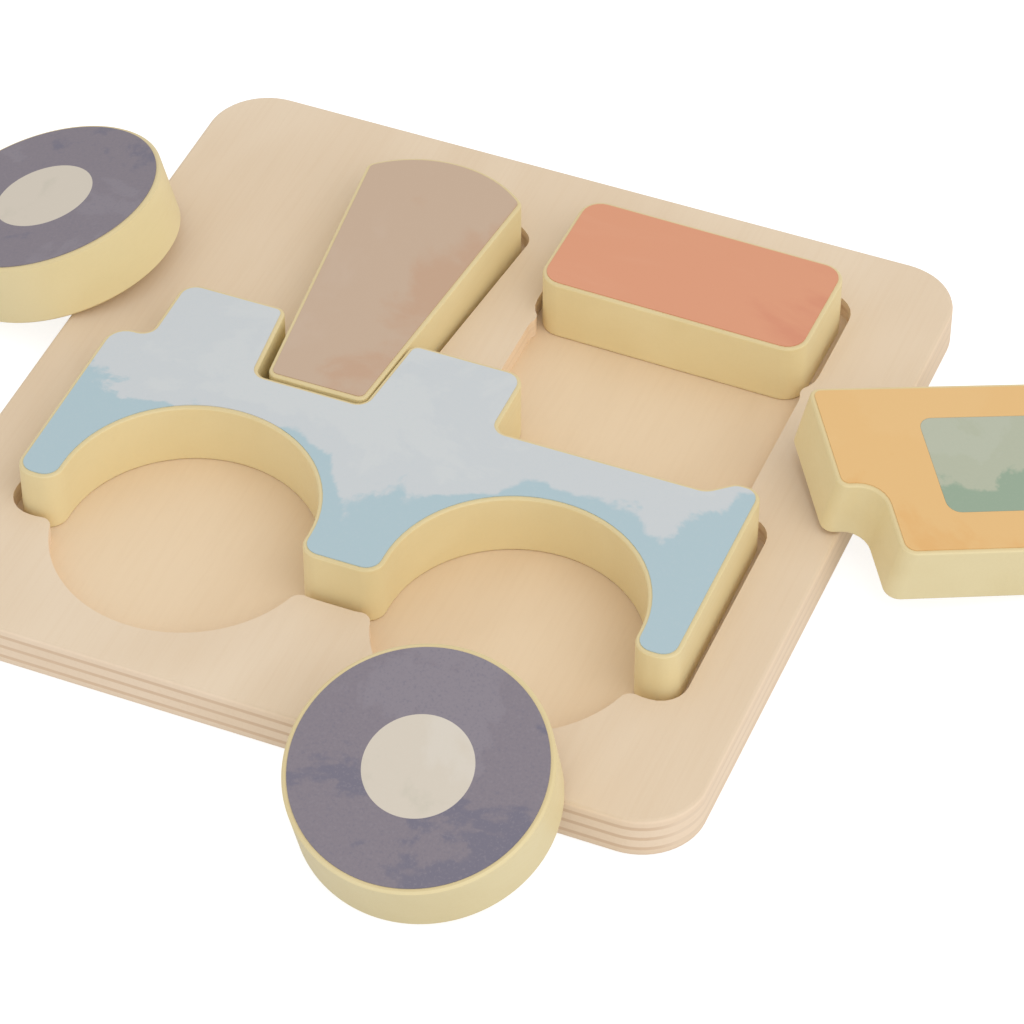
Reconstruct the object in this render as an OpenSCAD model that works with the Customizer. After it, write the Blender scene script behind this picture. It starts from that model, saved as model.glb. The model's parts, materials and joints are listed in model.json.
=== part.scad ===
// Chunky inset puzzle: a plywood board with one recess in the shape of a locomotive,
// and the six thick wooden blocks that fill it. Three blocks are seated in the recess.
// The cab and both wheels lie beside the board, each leaning on one of its edges.
// X runs along the locomotive, which faces -X. Y runs from its wheels to its roof.
// Z is up, and the origin is the middle of the board's underside.

/* [Board] */
// Width of the board's rim in front of the locomotive's nose
nose_rim_w = 14; // [6:0.1:40]
// Width of the board's rim behind the locomotive's tail
tail_rim_w = 13.4; // [6:0.1:40]
// Width of the board's rim below the wheel sockets
front_rim_w = 11; // [6:0.1:20]
// Radius of the board's corners, seen from above
board_corner_r = 14; // [6:1:24]
// Rounding of the board's outer arrises
board_arris = 0.9; // [0.4:0.1:1.6]
// Thickness of each of the four pale plies
pale_ply_t = 1.85; // [1.7:0.05:3]
// Thickness of each of the three dark cross-grain plies
cross_ply_t = 1; // [0.5:0.1:1.5]

/* [Fits] */
// Play round each piece in its socket
socket_gap = 2; // [1:0.1:3]
// Rounding of the board's tips between neighbouring sockets
tip_r = 2.6; // [1:0.1:3.5]
// Gap between neighbouring pieces when all are seated
piece_gap = 0.9; // [0.5:0.1:1.5]
// Gap between the chimney and each wall of its notch
chimney_gap = 1.35; // [1.3:0.05:1.8]
// Gap between a seated wheel and its arch
arch_gap = 0.4; // [0.3:0.1:1.2]
// Gap between a leaning piece and the board's edge
rest_gap = 0.8; // [0.3:0.1:1]
// Gap between two prints that share a face
print_gap = 0.05; // [0.02:0.01:0.2]

/* [Blocks and prints] */
// Thickness of every wooden block
block_t = 15; // [10:0.5:24]
// Rounding of the blocks' arrises
block_arris = 0.5; // [0.3:0.1:0.8]
// Thickness of a print
print_t = 0.2; // [0.1:0.05:0.4]
// Bare margin between a block's side and its print
print_margin = 0.9; // [0.8:0.1:3]

/* [Wheels] */
// Diameter of a wheel
wheel_d = 54.6; // [44:0.2:66]
// Diameter of the printed hub
hub_d = 22.8; // [14:0.2:30]
// Bare margin round the printed tyre
tyre_margin = 1.1; // [0.8:0.1:3]

/* [Chassis] */
// Width of the leg between the wheel arches
middle_leg_w = 18.2; // [10:0.1:30]
// Width of the leg at each end
end_leg_w = 9.9; // [6:0.1:18]
// How far the legs reach below the axles
leg_drop = 5.7; // [4:0.1:10]
// Rounding of the legs' corners
leg_r = 4.2; // [2:0.1:4.6]
// Height of the wood between a wheel arch and the deck
arch_wood_h = 15.8; // [11:0.1:24]
// Rounding of the deck's front corner
deck_r = 5.2; // [2:0.1:5.6]
// Length of the step in front of the smokebox
step_len = 8.6; // [8.1:0.1:14]
// Length of the smokebox in front of the chimney notch's top
smokebox_len = 24.3; // [12:0.1:32]
// Height of the smokebox and the boiler above the deck
boiler_rise = 18.7; // [12:0.1:22]
// Length of the boiler behind the chimney notch's top
boiler_len = 26.7; // [20:0.1:32]
// Rounding of the boiler's upper corner beside the cab
boiler_r = 4.2; // [2:0.1:6]
// Rounding at the foot of the boiler
boiler_foot_r = 2.8; // [2:0.1:4]
// Depth of the chimney notch below the deck
notch_drop = 3.1; // [1:0.1:6]
// Rounding of the notch's upper corners
notch_r = 2.4; // [1.8:0.1:4]
// Rounding of the notch's lower corners
notch_foot_r = 2.6; // [1:0.1:4]
// Height of the tail above the deck
tail_rise = 4.4; // [2:0.1:7]
// Length of the tail along its top
tail_len = 6.4; // [5.6:0.1:10]
// Length of the slope that leads up to the tail
tail_slope_len = 5.2; // [3:0.1:8]
// Rounding of the tail's rear corner
tail_r = 4; // [2:0.1:5]
// How far the chassis has turned in its socket, in degrees
chassis_turn = 0.3; // [-0.6:0.1:0.6]

/* [Chimney] */
// Width of the chimney at its foot
chimney_foot_w = 22.8; // [18:0.1:28]
// Width of the chimney at its shoulders
chimney_head_w = 37.7; // [30:0.1:42]
// Height of the chimney from its foot to its shoulders
chimney_side_h = 72.9; // [60:0.1:76]
// Rise of the chimney's round crown above its shoulders
crown_rise = 7.7; // [4:0.1:10]
// Rounding of the chimney's corners
chimney_r = 2.4; // [1.8:0.1:4]
// How far the chimney has slid over in its socket
chimney_shift = 0.5; // [0:0.1:0.6]
// How far the chimney has turned in its socket, in degrees
chimney_turn = 0.6; // [0:0.1:0.6]

/* [Cab and roof] */
// How far the cab's nose reaches forward over the boiler
cab_nose_len = 9.3; // [7:0.1:14]
// How far the cab's rear side reaches back over the tail's slope
cab_tail_lap = 3.2; // [0:0.1:4]
// Height of the cab
cab_h = 46.2; // [40:0.1:50]
// Rounding of the cab's upper corners
cab_r = 2.6; // [1.8:0.1:5]
// Rounding of the cab's front lower corner, at the boiler's foot
cab_heel_r = 3.2; // [2:0.1:5]
// Rounding of the cab's rear lower corner, beside the tail
cab_foot_r = 6; // [5:0.1:9]
// Width of the cab's wall in front of the window
window_front_w = 22.1; // [16:0.1:26]
// Width of the cab's wall behind the window
window_rear_w = 9; // [4:0.1:14]
// Height of the cab's wall below the window
window_sill_h = 10.7; // [6:0.1:14]
// Height of the cab's wall above the window
window_head_h = 9.3; // [5:0.1:13]
// Rounding of the window's corners
window_r = 3; // [1:0.1:4]
// How far the roof reaches past each side of the cab
eave_len = 1.4; // [0:0.1:3]
// Height of the roof
roof_h = 30.4; // [24:0.1:34]
// Rounding of the roof's corners
roof_r = 5.2; // [2:0.1:10]
// How far the roof has slid over in its socket
roof_shift = -0.4; // [-0.6:0.1:0.6]
// How far the roof has turned in its socket, in degrees
roof_turn = -0.7; // [-1:0.1:1]

/* [Leaning pieces] */
// How far the front wheel lies over the board's edge
front_wheel_lap = 14.4; // [8:0.1:20]
// Place of the front wheel along the board's front-facing edge, from the middle
front_wheel_along = 24.8; // [-40:0.1:40]
// How far the rear wheel lies over the board's edge
rear_wheel_lap = 18.9; // [8:0.1:20]
// Place of the rear wheel along the board's lower edge, from the middle
rear_wheel_along = 39.1; // [-40:0.1:45]
// How far the cab lies over the board's edge
cab_lap = 17.6; // [10:0.1:26]
// Place of the cab along the board's rear-facing edge, from the middle
cab_along = 20.4; // [-40:0.1:40]
// How far the cab is turned from its seated direction, in degrees
cab_turn = 34.6; // [20:0.1:50]

/* [Hidden] */
$fn = 96;

// Steps of a wheel arch, of the crown and of an arris, and least steps of a rounded corner
arch_steps = 36;
crown_steps = 20;
arris_steps = 3;
least_corner_steps = 6;
// A corner whose radius would fall below this is left sharp
least_r = 0.2;
// How far a cutting shape runs past the face that it cuts
cut_over = 1;
// How far a slab's rim runs into its core
rim_lap = 0.4;
// How far a tip's rounding runs over the sockets beside it
tip_lap = 0.06;

pale_colour = [0.88, 0.79, 0.67];
cross_colour = [0.66, 0.50, 0.36];
lacquer_colour = [0.86, 0.77, 0.56];
chassis_colour = [0.77, 0.80, 0.82];
chimney_colour = [0.77, 0.67, 0.58];
roof_colour = [0.86, 0.61, 0.49];
cab_colour = [0.90, 0.74, 0.50];
window_colour = [0.71, 0.74, 0.66];
tyre_colour = [0.53, 0.51, 0.55];
hub_colour = [0.84, 0.80, 0.74];

// Heights of the plies' undersides, from the table up
ply_pair_t = pale_ply_t + cross_ply_t;
board_t = 3 * ply_pair_t + pale_ply_t;
lower_cross_z = pale_ply_t;
lower_core_z = ply_pair_t;
middle_cross_z = lower_core_z + pale_ply_t;
floor_z = middle_cross_z + cross_ply_t;
upper_cross_z = floor_z + pale_ply_t;
face_z = upper_cross_z + cross_ply_t;

// The chassis's length follows from its arches and legs, and the board's side from the chassis's
wheel_r = wheel_d / 2;
arch_r = wheel_r + arch_gap;
wheel_base = 2 * arch_r + middle_leg_w;
chassis_len = wheel_base + 2 * (arch_r + end_leg_w);
board_side = chassis_len + 2 * socket_gap + nose_rim_w + tail_rim_w;

// The locomotive's levels along Y, from its legs up to its roof
axle_y = front_rim_w + socket_gap + wheel_r - board_side / 2;
leg_y = axle_y - leg_drop;
deck_y = axle_y + arch_r + arch_wood_h;
boiler_y = deck_y + boiler_rise;
notch_y = deck_y - notch_drop;
tail_y = deck_y + tail_rise;
cab_y = deck_y + piece_gap;
cab_top_y = cab_y + cab_h;
roof_y = cab_top_y + piece_gap;
chimney_y = notch_y + piece_gap;
shoulder_y = chimney_y + chimney_side_h;

// The locomotive's places along X, from its front to its rear
front_x = nose_rim_w + socket_gap - board_side / 2;
rear_x = front_x + chassis_len;
front_axle_x = front_x + end_leg_w + arch_r;
rear_axle_x = front_axle_x + wheel_base;
smokebox_x = front_x + step_len;
smokebox_rear_x = smokebox_x + smokebox_len;
chimney_x = smokebox_rear_x + notch_half(boiler_y);
boiler_front_x = chimney_x + notch_half(boiler_y);
boiler_rear_x = boiler_front_x + boiler_len;
tail_x = rear_x - tail_len;
tail_foot_x = tail_x - tail_slope_len;
cab_lower_x = boiler_rear_x + piece_gap;
cab_front_x = cab_lower_x - cab_nose_len;
cab_rear_x = tail_foot_x + cab_tail_lap;
cab_w = cab_rear_x - cab_front_x;

// A leg's two corners share its width
leg_r_share = 0.45;
end_leg_r = min(leg_r, leg_r_share * end_leg_w);
middle_leg_r = min(leg_r, leg_r_share * middle_leg_w);

// Half the chimney's width at a height, and half its notch's
function chimney_half(y) =
    chimney_foot_w / 2 + (chimney_head_w - chimney_foot_w) / 2 * (y - chimney_y) / chimney_side_h;
function notch_half(y) = chimney_half(y) + chimney_gap;

// A wheel arch and the chimney's crown, as runs of sharp points
function arch(axle_x) = [
    for (k = [0 : arch_steps])
        let (a = 180 * k / arch_steps)
        [axle_x - arch_r * cos(a), axle_y + arch_r * sin(a), 0]
];
crown_half = chimney_head_w / 2;
crown_r = (crown_half * crown_half + crown_rise * crown_rise) / (2 * crown_rise);
crown_angle = asin(crown_half / crown_r);
crown = [
    for (k = [1 : crown_steps - 1])
        let (a = crown_angle * (1 - 2 * k / crown_steps))
        [chimney_x + crown_r * sin(a), shoulder_y + crown_rise - crown_r * (1 - cos(a)), 0]
];

// Outlines, counterclockwise, each corner as [x, y, radius]
board_outline = rectangle(-board_side / 2, -board_side / 2, board_side, board_side, board_corner_r);
chassis_outline = [
    [front_x, leg_y, end_leg_r],
    [front_axle_x - arch_r, leg_y, end_leg_r],
    each arch(front_axle_x),
    [front_axle_x + arch_r, leg_y, middle_leg_r],
    [rear_axle_x - arch_r, leg_y, middle_leg_r],
    each arch(rear_axle_x),
    [rear_axle_x + arch_r, leg_y, end_leg_r],
    [rear_x, leg_y, end_leg_r],
    [rear_x, tail_y, tail_r],
    [tail_x, tail_y, tail_r],
    [tail_foot_x, deck_y, tail_r],
    [boiler_rear_x, deck_y, boiler_foot_r],
    [boiler_rear_x, boiler_y, boiler_r],
    [boiler_front_x, boiler_y, notch_r],
    [chimney_x + notch_half(notch_y), notch_y, notch_foot_r],
    [chimney_x - notch_half(notch_y), notch_y, notch_foot_r],
    [smokebox_rear_x, boiler_y, notch_r],
    [smokebox_x, boiler_y, boiler_r],
    [smokebox_x, deck_y, boiler_foot_r],
    [front_x, deck_y, deck_r]
];
chimney_outline = [
    [chimney_x - chimney_foot_w / 2, chimney_y, chimney_r],
    [chimney_x + chimney_foot_w / 2, chimney_y, chimney_r],
    [chimney_x + crown_half, shoulder_y, chimney_r],
    each crown,
    [chimney_x - crown_half, shoulder_y, chimney_r]
];
cab_outline = [
    [cab_lower_x, cab_y, cab_heel_r],
    [cab_rear_x, cab_y, cab_foot_r],
    [cab_rear_x, cab_top_y, cab_r],
    [cab_front_x, cab_top_y, cab_r],
    [cab_front_x, boiler_y + piece_gap, cab_r],
    [cab_lower_x, boiler_y + piece_gap, boiler_r + piece_gap]
];
window_outline = rectangle(
    cab_front_x + window_front_w,
    cab_y + window_sill_h,
    cab_w - window_front_w - window_rear_w,
    cab_h - window_sill_h - window_head_h,
    window_r
);
roof_outline = rectangle(cab_front_x - eave_len, roof_y, cab_w + 2 * eave_len, roof_h, roof_r);

function rectangle(x, y, w, h, r) = [[x, y, r], [x + w, y, r], [x + w, y + h, r], [x, y + h, r]];

// Points along an outline, drawn in by an inset, or out where the inset is negative
function place(corner) = [corner.x, corner.y];
function unit(v) = v / norm(v);
function left(v) = [-v.y, v.x];
function turned(v, a) = [v.x * cos(a) - v.y * sin(a), v.x * sin(a) + v.y * cos(a)];
function trace(outline, inset = 0) = [
    for (i = [0 : len(outline) - 1])
        let (
            count = len(outline),
            here = place(outline[i]),
            from = unit(here - place(outline[(i + count - 1) % count])),
            to = unit(place(outline[(i + 1) % count]) - here),
            turn = atan2(cross(from, to), from * to),
            side = sign(turn),
            mitre = (left(from) + left(to)) / (1 + left(from) * left(to)),
            r = outline[i].z - side * inset,
            hub = here + (inset + side * r) * mitre,
            sharp = outline[i].z == 0 || r < least_r,
            steps = max(least_corner_steps, ceil(outline[i].z))
        )
        each sharp
            ? [here + inset * mitre]
            : [for (k = [0 : steps]) hub - side * r * turned(left(from), turn * k / steps)]
];

// Slab with an outline's shape, standing on its underside: a core, and the rim round it
// whose upper and lower arrises are rounded or square
module slab(outline, t, arris, upper = true, lower = true) {
    rounding = [
        for (k = [0 : arris_steps])
            let (a = 90 * k / arris_steps)
            [arris * (1 - cos(a)), arris * (1 - sin(a))]
    ];
    levels = concat(
        [[arris + rim_lap, 0]],
        lower ? [for (k = [arris_steps : -1 : 0]) rounding[k]] : [[0, 0]],
        upper ? [for (step = rounding) [step[0], t - step[1]]] : [[0, t]],
        [[arris + rim_lap, t]]
    );
    rings = [
        for (level = levels)
            [for (p = trace(outline, level[0])) [p.x, p.y, level[1]]]
    ];
    count = len(rings);
    sides = len(rings[0]);
    linear_extrude(t) polygon(trace(outline, arris));
    polyhedron(
        points = [for (ring = rings) each ring],
        faces = [
            for (k = [0 : count - 1], i = [0 : sides - 1])
                let (a = k * sides, b = (k + 1) % count * sides, j = (i + 1) % sides)
                each [[a + i, b + i, b + j], [a + i, b + j, a + j]]
        ]
    );
}

module outlined_block(outline) {
    slab(outline, block_t, block_arris);
}

module outlined_print(outline, inset) {
    linear_extrude(print_t) polygon(trace(outline, inset));
}

module wheel_block_shape() {
    rotate_extrude() {
        square([wheel_r - block_arris, block_t]);
        translate([0, block_arris]) square([wheel_r, block_t - 2 * block_arris]);
        for (z = [block_arris, block_t - block_arris])
            translate([wheel_r - block_arris, z]) circle(block_arris);
    }
}

module tyre_print_shape() {
    linear_extrude(print_t) difference() {
        circle(wheel_r - tyre_margin);
        circle(hub_d / 2);
    }
}

module hub_print_shape() {
    linear_extrude(print_t) circle(hub_d / 2 - print_gap);
}

// Point at given distances from two others, on the left of the way from the first to the second
function meet(first, first_reach, second, second_reach) =
    let (
        way = norm(second - first),
        along = (way * way + first_reach * first_reach - second_reach * second_reach) / (2 * way),
        aside = sqrt(first_reach * first_reach - along * along)
    )
    first + along * unit(second - first) + aside * left(unit(second - first));

// Rounds the tip of wood that two round corners of neighbouring sockets leave between them
module tip_clearance(first, first_r, second, second_r) {
    reach = socket_gap + tip_r;
    hub = meet(first, first_r + reach, second, second_r + reach);
    difference() {
        polygon([first, hub, second]);
        translate(hub) circle(tip_r + tip_lap);
    }
}

function leg_hub(axle_x, side, r) = [axle_x + side * (arch_r + r), leg_y + r];
function cab_hub(x, side) = [x - side * cab_r, cab_top_y - cab_r];
function roof_hub(x, side) = [x + side * (eave_len - roof_r), roof_y + roof_r];

// The recess is the union of all six sockets
module recess_shape() {
    for (outline = [chassis_outline, chimney_outline, cab_outline, roof_outline])
        polygon(trace(outline, -socket_gap));
    for (x = [front_axle_x, rear_axle_x])
        translate([x, axle_y]) circle(wheel_r + socket_gap);
    tip_clearance([front_axle_x, axle_y], wheel_r, leg_hub(front_axle_x, -1, end_leg_r), end_leg_r);
    tip_clearance(leg_hub(front_axle_x, 1, middle_leg_r), middle_leg_r, [front_axle_x, axle_y], wheel_r);
    tip_clearance([rear_axle_x, axle_y], wheel_r, leg_hub(rear_axle_x, -1, middle_leg_r), middle_leg_r);
    tip_clearance(leg_hub(rear_axle_x, 1, end_leg_r), end_leg_r, [rear_axle_x, axle_y], wheel_r);
    tip_clearance(cab_hub(cab_front_x, -1), cab_r, roof_hub(cab_front_x, -1), roof_r);
    tip_clearance(roof_hub(cab_rear_x, 1), roof_r, cab_hub(cab_rear_x, 1), cab_r);
}

module core_ply(t) {
    linear_extrude(t) polygon(trace(board_outline));
}

module framed_core_ply(t) {
    linear_extrude(t) difference() {
        polygon(trace(board_outline));
        recess_shape();
    }
}

// Poses: seated on the recess's floor, or leaning on an edge of the board
module seated(middle, shift, turn) {
    translate([middle.x + shift, middle.y, floor_z])
        rotate(turn)
            translate([-middle.x, -middle.y, 0])
                children();
}

// The piece spans from high to low, measured from its own middle, and its low end touches the table
module leaning(direction, along, lap, high, low) {
    reach = low - high - lap;
    lean = asin((board_t + rest_gap) / reach);
    settle = block_arris * (sin(lean) + cos(lean) - 1);
    rotate(direction)
        translate([board_side / 2 + reach * cos(lean), along, -settle])
            rotate([0, lean, 0])
                translate([-low, 0, 0])
                    children();
}

chassis_middle = [front_x + chassis_len / 2, (leg_y + boiler_y) / 2];
chimney_middle = [chimney_x, chimney_y + chimney_side_h / 2];
cab_middle = [cab_front_x + cab_w / 2, cab_y + cab_h / 2];
roof_middle = [cab_middle.x, roof_y + roof_h / 2];
cab_lean_line = [for (p = trace(cab_outline)) turned(p - cab_middle, cab_turn).x];

module chassis_pose() {
    seated(chassis_middle, 0, chassis_turn) children();
}

module chimney_pose() {
    seated(chimney_middle, chimney_shift, chimney_turn) children();
}

module roof_pose() {
    seated(roof_middle, roof_shift, roof_turn) children();
}

module cab_pose() {
    leaning(0, cab_along, cab_lap, min(cab_lean_line), max(cab_lean_line))
        rotate(cab_turn)
            translate([-cab_middle.x, -cab_middle.y, 0])
                children();
}

module front_wheel_pose() {
    leaning(180, -front_wheel_along, front_wheel_lap, -wheel_r, wheel_r) children();
}

module rear_wheel_pose() {
    leaning(-90, rear_wheel_along, rear_wheel_lap, -wheel_r, wheel_r) children();
}

module on_face() {
    translate([0, 0, block_t]) children();
}

// The board, from the top down
module face_ply() {
    color(pale_colour) translate([0, 0, face_z]) difference() {
        slab(board_outline, pale_ply_t, board_arris, lower = false);
        translate([0, 0, -cut_over]) linear_extrude(pale_ply_t + 2 * cut_over) recess_shape();
    }
}

module upper_cross_ply() {
    color(cross_colour) translate([0, 0, upper_cross_z]) framed_core_ply(cross_ply_t);
}

module upper_core_ply() {
    color(pale_colour) translate([0, 0, floor_z]) framed_core_ply(pale_ply_t);
}

module middle_cross_ply() {
    color(cross_colour) translate([0, 0, middle_cross_z]) core_ply(cross_ply_t);
}

module lower_core_ply() {
    color(pale_colour) translate([0, 0, lower_core_z]) core_ply(pale_ply_t);
}

module lower_cross_ply() {
    color(cross_colour) translate([0, 0, lower_cross_z]) core_ply(cross_ply_t);
}

module back_ply() {
    color(pale_colour) slab(board_outline, pale_ply_t, board_arris, upper = false);
}

// The seated pieces
module chassis_block() {
    color(lacquer_colour) chassis_pose() outlined_block(chassis_outline);
}

module chassis_print() {
    color(chassis_colour) chassis_pose() on_face() outlined_print(chassis_outline, print_margin);
}

module chimney_block() {
    color(lacquer_colour) chimney_pose() outlined_block(chimney_outline);
}

module chimney_print() {
    color(chimney_colour) chimney_pose() on_face() outlined_print(chimney_outline, print_margin);
}

module roof_block() {
    color(lacquer_colour) roof_pose() outlined_block(roof_outline);
}

module roof_print() {
    color(roof_colour) roof_pose() on_face() outlined_print(roof_outline, print_margin);
}

// The leaning pieces
module cab_block() {
    color(lacquer_colour) cab_pose() outlined_block(cab_outline);
}

module cab_print() {
    color(cab_colour) cab_pose() on_face() linear_extrude(print_t) difference() {
        polygon(trace(cab_outline, print_margin));
        polygon(trace(window_outline));
    }
}

module window_print() {
    color(window_colour) cab_pose() on_face() outlined_print(window_outline, print_gap);
}

module front_wheel_block() {
    color(lacquer_colour) front_wheel_pose() wheel_block_shape();
}

module front_tyre_print() {
    color(tyre_colour) front_wheel_pose() on_face() tyre_print_shape();
}

module front_hub_print() {
    color(hub_colour) front_wheel_pose() on_face() hub_print_shape();
}

module rear_wheel_block() {
    color(lacquer_colour) rear_wheel_pose() wheel_block_shape();
}

module rear_tyre_print() {
    color(tyre_colour) rear_wheel_pose() on_face() tyre_print_shape();
}

module rear_hub_print() {
    color(hub_colour) rear_wheel_pose() on_face() hub_print_shape();
}

face_ply();
upper_cross_ply();
upper_core_ply();
middle_cross_ply();
lower_core_ply();
lower_cross_ply();
back_ply();
chassis_block();
chassis_print();
chimney_block();
chimney_print();
roof_block();
roof_print();
cab_block();
cab_print();
window_print();
front_wheel_block();
front_tyre_print();
front_hub_print();
rear_wheel_block();
rear_tyre_print();
rear_hub_print();
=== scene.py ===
import bmesh
import bpy
import json
import math
from mathutils import Matrix, Vector


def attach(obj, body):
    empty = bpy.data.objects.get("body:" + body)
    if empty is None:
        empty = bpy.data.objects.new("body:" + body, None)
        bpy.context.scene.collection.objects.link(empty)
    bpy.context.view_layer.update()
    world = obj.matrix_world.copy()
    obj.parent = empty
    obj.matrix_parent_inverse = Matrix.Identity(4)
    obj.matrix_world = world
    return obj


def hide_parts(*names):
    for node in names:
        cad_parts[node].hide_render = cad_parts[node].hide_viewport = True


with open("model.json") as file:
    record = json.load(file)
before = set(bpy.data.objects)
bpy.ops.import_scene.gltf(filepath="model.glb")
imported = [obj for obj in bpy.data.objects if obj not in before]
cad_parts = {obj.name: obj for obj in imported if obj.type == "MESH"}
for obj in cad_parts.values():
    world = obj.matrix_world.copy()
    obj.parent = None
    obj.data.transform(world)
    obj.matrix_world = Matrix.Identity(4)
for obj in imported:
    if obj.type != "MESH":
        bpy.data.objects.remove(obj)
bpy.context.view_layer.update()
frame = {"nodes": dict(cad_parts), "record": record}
nodes = frame["nodes"]
record = frame["record"]
bodies = record["behaviour"]["bodies"]
bodyOf = {node: body for body, names in bodies.items() for node in names}
slotOf = {part["node"]: part["material_slot"] for part in record["subparts"]}


# node helpers

white = (1, 1, 1, 1)


def linear(red, green, blue):  # from the 0 to 255 that a colour picker shows
    def channel(value):
        value /= 255
        return value / 12.92 if value <= 0.04045 else ((value + 0.055) / 1.055) ** 2.4
    return (channel(red), channel(green), channel(blue), 1.0)


def feed(tree, socket, value):  # another node's output is linked, a number or a colour is set
    if isinstance(value, bpy.types.NodeSocket):
        tree.links.new(value, socket)
    else:
        socket.default_value = value


def addNode(tree, kind, settings=None, inputs=None):
    node = tree.nodes.new(kind)
    for key, value in (settings or {}).items():
        setattr(node, key, value)
    for key, value in (inputs or {}).items():
        feed(tree, node.inputs[key], value)
    return node


def mixColour(tree, factor, first, second, blend="MIX"):  # 6, 7 and 2 are the colour sockets of a Mix node
    node = addNode(tree, "ShaderNodeMix", {"data_type": "RGBA", "blend_type": blend},
                   {0: factor, 6: first, 7: second})
    return node.outputs[2]


def mathNode(tree, operation, first, second=None, clamp=False):
    inputs = {0: first} if second is None else {0: first, 1: second}
    return addNode(tree, "ShaderNodeMath", {"operation": operation, "use_clamp": clamp}, inputs).outputs[0]


def ramp(tree, factor, low, high):  # smooth step from low to high
    node = addNode(tree, "ShaderNodeMapRange", {"interpolation_type": "SMOOTHSTEP"},
                   {"Value": factor, "From Min": low, "From Max": high})
    return node.outputs["Result"]


def noise(tree, vector, scale, detail, roughness, distortion=0.0):
    node = addNode(tree, "ShaderNodeTexNoise", None,
                   {"Vector": vector, "Scale": scale, "Detail": detail, "Roughness": roughness,
                    "Distortion": distortion})
    return node.outputs["Fac"]


def separate(tree, vector):
    return addNode(tree, "ShaderNodeSeparateXYZ", None, {"Vector": vector}).outputs


# camera, floor and light

photoCamera = {
    "eye": (0.284719, -0.655193, 0.680273),
    "lookAt": (0.024044, -0.017824, 0.0104),
    "roll": 0.208,       # degrees
    "lens": 159.77,      # mm
    "sensor": 36,        # mm
    "clip": (0.05, 20),
}


def buildCamera(settings):
    data = bpy.data.cameras.new("photoCamera")
    data.sensor_width = settings["sensor"]
    data.lens = settings["lens"]
    data.clip_start, data.clip_end = settings["clip"]
    camera = bpy.data.objects.new("photoCamera", data)
    bpy.context.collection.objects.link(camera)
    eye = Vector(settings["eye"])
    aim = (Vector(settings["lookAt"]) - eye).to_track_quat("-Z", "Y").to_matrix()
    turn = aim @ Matrix.Rotation(math.radians(settings["roll"]), 3, "Z")
    camera.matrix_world = Matrix.Translation(eye) @ turn.to_4x4()
    bpy.context.scene.camera = camera


paperFloor = {
    "half": 3.0,         # from the middle to an edge
    "level": -0.0003,    # just under the board
    "colour": (0.4, 0.4, 0.4, 1.0),
    "roughness": 0.9,
    "bounce": 0.30,      # what the paper gives the pieces' sides
    "glow": 0.79,        # what lifts the paper itself to white
}


def buildFloor(settings):
    mesh = bpy.data.meshes.new("studioFloor")
    half, level = settings["half"], settings["level"]
    corners = [(-half, -half, level), (half, -half, level), (half, half, level), (-half, half, level)]
    mesh.from_pydata(corners, [], [(0, 1, 2, 3)])
    floor = bpy.data.objects.new("studioFloor", mesh)
    bpy.context.collection.objects.link(floor)
    paper = bpy.data.materials.new("studioPaper")
    paper.use_nodes = True
    tree = paper.node_tree
    path = addNode(tree, "ShaderNodeLightPath")
    glow = addNode(tree, "ShaderNodeMapRange", None,
                   {"Value": path.outputs["Is Camera Ray"], "To Min": settings["bounce"],
                    "To Max": settings["glow"]})
    shader = tree.nodes["Principled BSDF"].inputs
    feed(tree, shader["Base Color"], settings["colour"])
    feed(tree, shader["Roughness"], settings["roughness"])
    feed(tree, shader["Emission Color"], white)
    feed(tree, shader["Emission Strength"], glow.outputs["Result"])
    mesh.materials.append(paper)


softLight = {
    "skyStrength": 0.84,
    "panelEnergy": 4.6,
    "panelSize": 1.2,
    "panelPlace": (0.75, -0.35, 0.95),
}


def buildLight(settings):
    world = bpy.data.worlds.new("softBox")
    world.use_nodes = True
    sky = world.node_tree.nodes["Background"]
    sky.inputs["Color"].default_value = white
    sky.inputs["Strength"].default_value = settings["skyStrength"]
    bpy.context.scene.world = world
    data = bpy.data.lights.new("overheadPanel", "AREA")
    data.shape = "DISK"
    data.size = settings["panelSize"]
    data.energy = settings["panelEnergy"]
    panel = bpy.data.objects.new("overheadPanel", data)
    panel.location = settings["panelPlace"]
    panel.rotation_mode = "QUATERNION"
    panel.rotation_quaternion = (-Vector(settings["panelPlace"])).to_track_quat("-Z", "Y")
    bpy.context.collection.objects.link(panel)
    bpy.context.scene.view_settings.view_transform = "Standard"


buildCamera(photoCamera)
buildFloor(paperFloor)
buildLight(softLight)
print("studio: camera, floor and light")


# shader groups that several finishes share

def newGroup(name, inputs, outputs):
    tree = bpy.data.node_groups.new(name, "ShaderNodeTree")
    for label, kind, value in inputs:
        socket = tree.interface.new_socket(label, in_out="INPUT", socket_type="NodeSocket" + kind)
        if value is not None:
            socket.default_value = value
    for label, kind in outputs:
        tree.interface.new_socket(label, in_out="OUTPUT", socket_type="NodeSocket" + kind)
    start = tree.nodes.new("NodeGroupInput")
    end = tree.nodes.new("NodeGroupOutput")
    return tree, start.outputs, end.inputs


fibreNoise = {
    "fine": (0.42, 0.72),   # where the fibres start to darken and where they are darkest
    "broad": (0.3, 0.7),    # the same for the slow drift of tone
}


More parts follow.
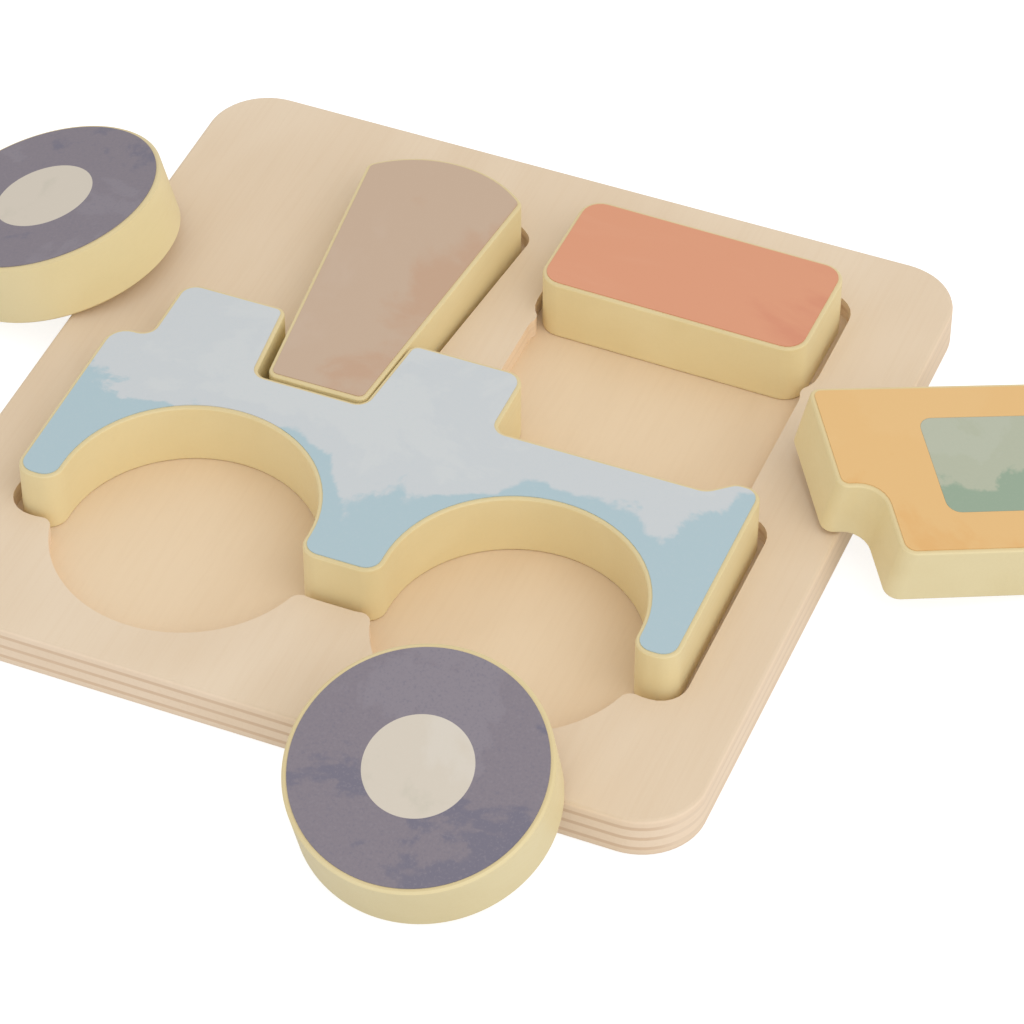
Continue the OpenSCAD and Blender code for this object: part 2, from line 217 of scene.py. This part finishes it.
# long fibres and slow tone drift; the vectors come in stretched along the fibres
def buildGrainGroup(settings):
    tree, start, end = newGroup(
        "woodGrain",
        [("Vector", "Vector", None), ("Drift Vector", "Vector", None), ("Light", "Color", None),
         ("Dark", "Color", None), ("Fibre", "Float", 0.3), ("Drift", "Float", 0.4)],
        [("Color", "Color"), ("Height", "Float")])
    fine = noise(tree, start["Vector"], scale=1.0, detail=4.0, roughness=0.6)
    broad = noise(tree, start["Drift Vector"], scale=1.0, detail=2.0, roughness=0.5, distortion=0.6)
    fineMask = mathNode(tree, "MULTIPLY", ramp(tree, fine, *settings["fine"]), start["Fibre"])
    broadMask = mathNode(tree, "MULTIPLY", ramp(tree, broad, *settings["broad"]), start["Drift"])
    both = mathNode(tree, "ADD", fineMask, broadMask, clamp=True)
    feed(tree, end["Color"], mixColour(tree, both, start["Light"], start["Dark"]))
    feed(tree, end["Height"], fine)
    return tree


washNoise = {
    "raggedScale": 240.0,
    "raggedReach": 0.14,    # how far the pools' edges wander
    "pool": (0.56, 0.57),   # start and end of a pool's edge, before its softness
    "bloom": (0.44, 0.43),  # the same for a paler bloom
    "bloomShare": 0.6,
    "toothScale": 1700.0,
    "speck": (0.5, 0.75),   # pale grains of the tooth
    "pit": (0.5, 0.25),     # dark grains of the tooth
}


# a watercolour wash: pigment pools with ragged edges, paler blooms, paper tooth
def buildWashGroup(settings):
    tree, start, end = newGroup(
        "colourWash",
        [("Vector", "Vector", None), ("Wash", "Color", None), ("Pool", "Color", None), ("Bloom", "Color", None),
         ("Scale", "Float", 18.0), ("Softness", "Float", 0.08), ("Lean", "Float", 0.0), ("Grit", "Float", 0.1)],
        [("Color", "Color"), ("Height", "Float")])
    vector = start["Vector"]
    shape = noise(tree, vector, start["Scale"], detail=5.0, roughness=0.6, distortion=0.5)
    ragged = noise(tree, vector, settings["raggedScale"], detail=4.0, roughness=0.65)
    tooth = noise(tree, vector, settings["toothScale"], detail=2.0, roughness=0.6)
    wander = mathNode(tree, "MULTIPLY", mathNode(tree, "SUBTRACT", ragged, 0.5), settings["raggedReach"])
    level = mathNode(tree, "ADD", mathNode(tree, "ADD", shape, wander), start["Lean"])
    poolFrom, poolTo = settings["pool"]
    bloomFrom, bloomTo = settings["bloom"]
    pooled = ramp(tree, level, poolFrom, mathNode(tree, "ADD", poolTo, start["Softness"]))
    bloom = ramp(tree, level, bloomFrom, mathNode(tree, "SUBTRACT", bloomTo, start["Softness"]))
    speck = mathNode(tree, "MULTIPLY", ramp(tree, tooth, *settings["speck"]), start["Grit"])
    pit = mathNode(tree, "MULTIPLY", ramp(tree, tooth, *settings["pit"]), start["Grit"])
    colour = mixColour(tree, pooled, start["Wash"], start["Pool"])
    colour = mixColour(tree, mathNode(tree, "MULTIPLY", bloom, settings["bloomShare"]), colour, start["Bloom"])
    colour = mixColour(tree, speck, colour, start["Bloom"])
    colour = mixColour(tree, pit, colour, start["Pool"])
    feed(tree, end["Color"], colour)
    feed(tree, end["Height"], tooth)
    return tree


grainGroup = buildGrainGroup(fibreNoise)
washGroup = buildWashGroup(washNoise)
print("shader groups: woodGrain, colourWash")


# finishes

surface = {
    "woodRelief": {"Strength": 0.12, "Distance": 0.0002},
    "printRelief": {"Strength": 0.08, "Distance": 0.0001},
    "reliefSpan": (0.3, 0.7),   # heights that get the least and the most roughness
    "glossSwing": 0.07,         # roughness either side of a finish's own
    "upward": (0.35, 0.85),     # how far a face looks up before its painted shade starts and where it is full
}


def newFinish(name, specular):
    material = bpy.data.materials.new(name)
    material.use_nodes = True
    tree = material.node_tree
    shader = tree.nodes["Principled BSDF"].inputs
    shader["Specular IOR Level"].default_value = specular
    place = addNode(tree, "ShaderNodeTexCoord").outputs
    return material, tree, shader, place


# grain or paper tooth goes to the bump and, a little, to the gloss
def coverWith(tree, shader, colour, height, roughness, relief):
    low, high = surface["reliefSpan"]
    gloss = addNode(tree, "ShaderNodeMapRange", None,
                    {"Value": height, "From Min": low, "From Max": high,
                     "To Min": roughness - surface["glossSwing"], "To Max": roughness + surface["glossSwing"]})
    bump = addNode(tree, "ShaderNodeBump", None, {**relief, "Height": height})
    feed(tree, shader["Base Color"], colour)
    feed(tree, shader["Roughness"], gloss.outputs["Result"])
    feed(tree, shader["Normal"], bump.outputs["Normal"])


def stretched(tree, place, scale, turn=0, shift=(0, 0, 0)):
    node = addNode(tree, "ShaderNodeMapping", None,
                   {"Vector": place["Object"], "Location": shift, "Rotation": (0, 0, math.radians(turn)),
                    "Scale": scale})
    return node.outputs["Vector"]


def grainNode(tree, place, look, light, dark):
    turn = look["fibreTurn"]
    return addNode(tree, "ShaderNodeGroup", {"node_tree": grainGroup},
                   {"Vector": stretched(tree, place, look["fibreScale"], turn),
                    "Drift Vector": stretched(tree, place, look["driftScale"], turn),
                    "Light": linear(*light), "Dark": linear(*dark),
                    "Fibre": look["fibre"], "Drift": look["drift"]}).outputs


def woodFinish(name, look):
    material, tree, shader, place = newFinish(name, look["specular"])
    grain = grainNode(tree, place, look, look["light"], look["dark"])
    colour = grain["Color"]
    if "paintedTopShade" in look:  # painted shade: the upper face is made darker than the sides, standing in for how the light falls
        upward = ramp(tree, separate(tree, place["Normal"])["Z"], *surface["upward"])
        colour = mixColour(tree, upward, colour, linear(*look["paintedTopShade"]), "MULTIPLY")
    coverWith(tree, shader, colour, grain["Height"], look["roughness"], surface["woodRelief"])
    if "coat" in look:
        shader["Coat Weight"].default_value = look["coat"]
        shader["Coat Roughness"].default_value = look["coatRoughness"]
    return material


# face grain on top, pale long grain at the sides, dark end grain front and back
def plyFinish(name, look, plies):
    material, tree, shader, place = newFinish(name, look["specular"])
    face, long, end = [grainNode(tree, place, look, *look[part]) for part in ("face", "long", "end")]
    facing = separate(tree, place["Normal"])
    height = separate(tree, place["Object"])["Z"]
    # the dark fades out towards the glue lines above and below
    layer = mathNode(tree, "DIVIDE", mathNode(tree, "SUBTRACT", height, plies["middle"]), plies["pitch"])
    offset = mathNode(tree, "ABSOLUTE", mathNode(tree, "SUBTRACT", layer, mathNode(tree, "ROUND", layer)))
    core = ramp(tree, offset, *[share * plies["share"] for share in look["fade"]])
    endwise = ramp(tree, mathNode(tree, "ABSOLUTE", facing["Y"]), *look["endwise"])
    upward = ramp(tree, mathNode(tree, "ABSOLUTE", facing["Z"]), *look["upward"])
    side = mixColour(tree, mathNode(tree, "MULTIPLY", endwise, core), long["Color"], end["Color"])
    colour = mixColour(tree, upward, side, face["Color"])
    coverWith(tree, shader, colour, end["Height"], look["roughness"], surface["woodRelief"])
    return material


def washFinish(name, look):
    material, tree, shader, place = newFinish(name, look["specular"])
    lean = look["lean"]
    for direction, low, high, gain in look.get("runs", ()):  # the pigment runs one way
        along = addNode(tree, "ShaderNodeVectorMath", {"operation": "DOT_PRODUCT"},
                        {0: place["Object"], 1: direction}).outputs["Value"]
        lean = mathNode(tree, "ADD", mathNode(tree, "MULTIPLY", ramp(tree, along, low, high), gain), lean)
    if "rings" in look:  # the pigment gathers round two centres
        centres, near, far, gain = look["rings"]
        spans = [addNode(tree, "ShaderNodeVectorMath", {"operation": "DISTANCE"},
                         {0: place["Object"], 1: centre}).outputs["Value"] for centre in centres]
        nearest = mathNode(tree, "MINIMUM", *spans)
        lean = mathNode(tree, "ADD", mathNode(tree, "MULTIPLY", ramp(tree, nearest, far, near), gain), lean)
    vector = stretched(tree, place, look.get("stretch", (1, 1, 1)), shift=look.get("shift", (0, 0, 0)))
    paint = addNode(tree, "ShaderNodeGroup", {"node_tree": washGroup},
                    {"Vector": vector, "Wash": linear(*look["wash"]), "Pool": linear(*look["pool"]),
                     "Bloom": linear(*look["bloom"]), "Scale": look["scale"], "Softness": look["softness"],
                     "Lean": lean, "Grit": look["grit"]}).outputs
    coverWith(tree, shader, paint["Color"], paint["Height"], look["roughness"], surface["printRelief"])
    return material


# pieces

finishes = {}
meshWork = {
    "weld": 2e-6,        # merges the corners of the loose triangles
    "flatAngle": 0.3,    # degrees; faces that differ by less become one
    "sharpAngle": 40,    # degrees; edges past that stay sharp
}


def addPiece(node, mesh):
    piece = bpy.data.objects.new(node.replace("_", "-"), mesh)
    bpy.context.collection.objects.link(piece)
    return piece


def applyModifiers(piece):
    evaluated = piece.evaluated_get(bpy.context.evaluated_depsgraph_get())
    piece.data = bpy.data.meshes.new_from_object(evaluated)
    piece.modifiers.clear()


def settle(piece, node):  # smooth rounded edges, flat faces left flat, then its place in the frame
    for polygon in piece.data.polygons:
        polygon.use_smooth = True
    piece.data.set_sharp_from_angle(angle=math.radians(meshWork["sharpAngle"]))
    weighted = piece.modifiers.new("weighted", "WEIGHTED_NORMAL")
    weighted.keep_sharp = True
    applyModifiers(piece)
    piece.data.materials.clear()
    piece.data.materials.append(finishes[slotOf[node]])
    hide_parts(node)
    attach(piece, bodyOf[node])


def copyOfNode(node):
    mesh = nodes[node].data.copy()
    work = bmesh.new()
    work.from_mesh(mesh)
    bmesh.ops.remove_doubles(work, verts=work.verts, dist=meshWork["weld"])
    flatAngle = math.radians(meshWork["flatAngle"])
    bmesh.ops.dissolve_limit(work, angle_limit=flatAngle, verts=work.verts, edges=work.edges)
    work.to_mesh(mesh)
    work.free()
    return mesh


def buildSawn(body):  # a body whose pieces keep their sawn outlines
    for node in bodies[body]:
        settle(addPiece(node, copyOfNode(node)), node)
    print(body + ":", len(bodies[body]), "pieces")


def heights(node):
    reach = [vertex.co.z for vertex in nodes[node].data.vertices]
    return min(reach), max(reach)


# board: colours are the light and the dark of each grain

boardFace = {
    # paintedTopShade is painted shade: multiplied into the upper face so it reads darker than the sides
    "light": (246, 224, 198), "dark": (233, 206, 175), "paintedTopShade": (237, 238, 236),
    "fibreTurn": 0, "fibreScale": (1400, 40, 1400), "driftScale": (28, 14, 28),
    "fibre": 0.14, "drift": 0.50, "roughness": 0.6, "specular": 0.3,
}
boardCore = {
    "light": (246, 224, 198), "dark": (234, 208, 178),
    "fibreTurn": 90, "fibreScale": (1400, 40, 1400), "driftScale": (28, 14, 28),
    "fibre": 0.2, "drift": 0.3, "roughness": 0.7, "specular": 0.2,
}
crossPly = {
    "face": ((231, 208, 176), (218, 191, 156)),
    "long": ((241, 219, 193), (230, 205, 177)),
    "end": ((229, 201, 171), (218, 188, 157)),
    "fibreTurn": 0, "fibreScale": (900, 60, 1400), "driftScale": (28, 14, 28),
    "fibre": 0.12, "drift": 0.45, "roughness": 0.7, "specular": 0.2,
    "fade": (0.60, 0.24),      # shares of a ply from its middle, where the end grain ends and where it is full
    "endwise": (0.55, 0.97),   # how far a side looks to the front or the back
    "upward": (0.5, 0.8),
}
lowerPly, middlePly = heights("lower_cross_ply"), heights("middle_cross_ply")
plies = {"middle": sum(lowerPly) / 2, "pitch": middlePly[0] - lowerPly[0]}
plies["share"] = (lowerPly[1] - lowerPly[0]) / plies["pitch"]
finishes["birch_face"] = woodFinish("birchFace", boardFace)
finishes["birch_core"] = woodFinish("birchCore", boardCore)
finishes["cross_ply"] = plyFinish("crossPly", crossPly, plies)
finishes["recess_floor"] = plyFinish("recessFloor", crossPly, plies)
buildSawn("board")


# the lacquered wood of all six blocks

blockWood = {
    # paintedTopShade is painted shade: multiplied into the upper face so it reads darker than the sides
    "light": (237, 221, 174), "dark": (226, 206, 153), "paintedTopShade": (238, 234, 228),
    "fibreTurn": 0, "fibreScale": (1400, 40, 1400), "driftScale": (44, 22, 44),
    "fibre": 0.08, "drift": 0.35, "roughness": 0.42, "specular": 0.4,
    "coat": 0.15, "coatRoughness": 0.35,
}
finishes["cream_wood"] = woodFinish("creamWood", blockWood)


# chassis: the wash gathers at the feet, at both ends and along the arches round the wheels' sockets

printLevel = heights("chassis_print")[1]
sockets = [entry["box_m"] for entry in record["physics"]["openings"] if "wheel" in entry["name"]]
arches = [((low[0] + high[0]) / 2, (low[1] + high[1]) / 2, printLevel) for low, high in sockets]
chassisPrint = {
    "wash": (199, 203, 205), "pool": (171, 192, 199), "bloom": (205, 208, 208),
    "scale": 30, "softness": 0.06, "lean": -0.07, "grit": 0.1, "roughness": 0.62, "specular": 0.3,
    "runs": (  # a direction, where the run starts and ends along it, and its gain
        ((0, -1, 0), 0.020, 0.048, 0.22),
        ((1, -0.45, 0), 0.066, 0.078, 0.25),
        ((-0.6, -1, 0), 0.055, 0.072, 0.25),
    ),
    "rings": (arches, 0.0270, 0.0355, 0.24),  # centres, the near and the far radius, and the gain
}
finishes["blue_print"] = washFinish("bluePrint", chassisPrint)
buildSawn("chassis")


# chimney

chimneyPrint = {
    "wash": (195, 170, 147), "pool": (193, 160, 134), "bloom": (198, 175, 154),
    "scale": 26, "softness": 0.14, "lean": -0.05, "grit": 0.1, "roughness": 0.62, "specular": 0.3,
    "runs": (((1, -0.4, 0), -0.043, -0.019, 0.25),),
}
finishes["taupe_print"] = washFinish("taupePrint", chimneyPrint)
buildSawn("chimney")


# roof

roofPrint = {
    "wash": (217, 152, 119), "pool": (211, 142, 112), "bloom": (219, 157, 125),
    "scale": 34, "softness": 0.20, "lean": -0.03, "grit": 0.1, "roughness": 0.62, "specular": 0.3,
    "stretch": (0.6, 1.8, 1),
    "runs": (((1, -0.6, 0), 0.010, 0.040, 0.12),),
}
finishes["salmon_print"] = washFinish("salmonPrint", roofPrint)
buildSawn("roof")


# cab: both washes gather at its lower edge, and it lies turned

cabPrint = {
    "wash": (223, 182, 123), "pool": (221, 174, 112), "bloom": (224, 185, 128),
    "scale": 26, "softness": 0.10, "lean": -0.08, "grit": 0.1, "roughness": 0.62, "specular": 0.3,
    "shift": (0.31, 0.12, 0),
    "runs": (((0.4, -0.92, 0), 0.015, 0.052, 0.20),),
}
windowPrint = {
    "wash": (175, 179, 158), "pool": (146, 164, 143), "bloom": (180, 184, 166),
    "scale": 34, "softness": 0.05, "lean": -0.08, "grit": 0.1, "roughness": 0.62, "specular": 0.3,
    "shift": (0.05, 0.02, 0),
    "runs": (((0.4, -0.92, 0), 0.020, 0.036, 0.30),),
}
finishes["yellow_print"] = washFinish("yellowPrint", cabPrint)
finishes["green_print"] = washFinish("greenPrint", windowPrint)
buildSawn("cab")


# wheels and their prints: a profile swept round the axle

wheel = {
    "arris": 0.0005,
    "segments": 160,
    "weld": 1e-6,        # merges the seam of the sweep
    "upright": 0.5,      # how far a face looks up to be taken for the upper one
}
tyrePrint = {
    "wash": (132, 124, 132), "pool": (117, 113, 127), "bloom": (141, 134, 142),
    "scale": 34, "softness": 0.05, "lean": -0.06, "grit": 0.5, "roughness": 0.62, "specular": 0.3,
    "runs": (((0.6, -0.8, 0), 0.09, 0.14, 0.24),),
}
hubPrint = {
    "wash": (210, 200, 185), "pool": (202, 194, 178), "bloom": (215, 207, 195),
    "scale": 34, "softness": 0.10, "lean": 0.0, "grit": 0.1, "roughness": 0.62, "specular": 0.3,
}
finishes["grey_print"] = washFinish("greyPrint", tyrePrint)
finishes["ivory_print"] = washFinish("ivoryPrint", hubPrint)


def buildTurnedTree():
    tree = bpy.data.node_groups.new("turnedDisc", "GeometryNodeTree")
    ids = {}
    for label, kind in (("Radius", "Float"), ("Bore", "Float"), ("Thickness", "Float"), ("Arris", "Float"),
                        ("Segments", "Int"), ("Material", "Material")):
        socket = tree.interface.new_socket(label, in_out="INPUT", socket_type="NodeSocket" + kind)
        ids[label] = socket.identifier
    tree.interface.new_socket("Geometry", in_out="OUTPUT", socket_type="NodeSocketGeometry")
    start = tree.nodes.new("NodeGroupInput").outputs
    end = tree.nodes.new("NodeGroupOutput").inputs
    width = mathNode(tree, "SUBTRACT", start["Radius"], start["Bore"])
    middle = mathNode(tree, "DIVIDE", mathNode(tree, "ADD", start["Radius"], start["Bore"]), 2.0)
    box = addNode(tree, "GeometryNodeCurvePrimitiveQuadrilateral", {"mode": "RECTANGLE"},
                  {"Width": width, "Height": start["Thickness"]})
    # only the two outer corners of the profile are rounded
    across = separate(tree, addNode(tree, "GeometryNodeInputPosition").outputs[0])["X"]
    outer = mathNode(tree, "GREATER_THAN", across, 0.0)
    rounded = addNode(tree, "GeometryNodeFilletCurve", None,
                      {"Curve": box.outputs[0], "Radius": mathNode(tree, "MULTIPLY", outer, start["Arris"])})
    ring = addNode(tree, "GeometryNodeCurvePrimitiveCircle", {"mode": "RADIUS"},
                   {"Resolution": start["Segments"], "Radius": middle})
    sweep = addNode(tree, "GeometryNodeCurveToMesh", None,
                    {"Curve": ring.outputs[0], "Profile Curve": rounded.outputs[0]})
    # where there is no bore, the inner side closes to a line on the axle, which goes
    closed = addNode(tree, "GeometryNodeMergeByDistance", None,
                     {"Geometry": sweep.outputs[0], "Distance": wheel["weld"]})
    faces = addNode(tree, "GeometryNodeInputMeshEdgeNeighbors").outputs[0]
    loose = addNode(tree, "FunctionNodeCompare", {"data_type": "INT", "operation": "EQUAL"}, {2: faces})
    clean = addNode(tree, "GeometryNodeDeleteGeometry", {"domain": "EDGE"},
                    {"Geometry": closed.outputs[0], "Selection": loose.outputs[0]})
    real = addNode(tree, "GeometryNodeRealizeInstances", None, {"Geometry": clean.outputs[0]})
    painted = addNode(tree, "GeometryNodeSetMaterial", None,
                      {"Geometry": real.outputs[0], "Material": start["Material"]})
    feed(tree, end["Geometry"], painted.outputs[0])
    return tree, ids


turnedTree, turnedIds = buildTurnedTree()


def discFrame(node):  # axle, middle and sizes of a round CAD node, read from its mesh
    mesh = nodes[node].data
    upper = [face for face in mesh.polygons if face.normal.z > wheel["upright"]]
    axle = max(upper, key=lambda face: face.area).normal.copy()
    across = axle.cross(Vector((0, 0, 1))).normalized()
    along = axle.cross(across)
    middle = Vector((0, 0, 0))
    spans = []
    for direction in (across, along, axle):
        reach = [vertex.co.dot(direction) for vertex in mesh.vertices]
        middle += direction * (min(reach) + max(reach)) / 2
        spans.append(max(reach) - min(reach))
    turn = Matrix((across, along, axle)).transposed().to_4x4()
    return Matrix.Translation(middle) @ turn, spans[0] / 2, spans[2]


def turnedPiece(node, bore, arris):
    place, radius, thickness = discFrame(node)
    piece = addPiece(node, bpy.data.meshes.new(node))
    modifier = piece.modifiers.new("turned", "NODES")
    modifier.node_group = turnedTree
    for label, value in (("Radius", radius), ("Bore", bore), ("Thickness", thickness), ("Arris", arris),
                         ("Segments", wheel["segments"]), ("Material", finishes[slotOf[node]])):
        modifier[turnedIds[label]] = value
    applyModifiers(piece)
    piece.data.transform(place)
    work = bmesh.new()
    work.from_mesh(piece.data)
    bmesh.ops.recalc_face_normals(work, faces=work.faces)
    work.to_mesh(piece.data)
    work.free()
    settle(piece, node)


for side in ("front", "rear"):
    hubRadius = discFrame(side + "_hub_print")[1]
    turnedPiece(side + "_wheel_block", 0.0, wheel["arris"])
    turnedPiece(side + "_tyre_print", hubRadius, 0.0)
    turnedPiece(side + "_hub_print", 0.0, 0.0)
    print(side + " wheel: 3 turned pieces")
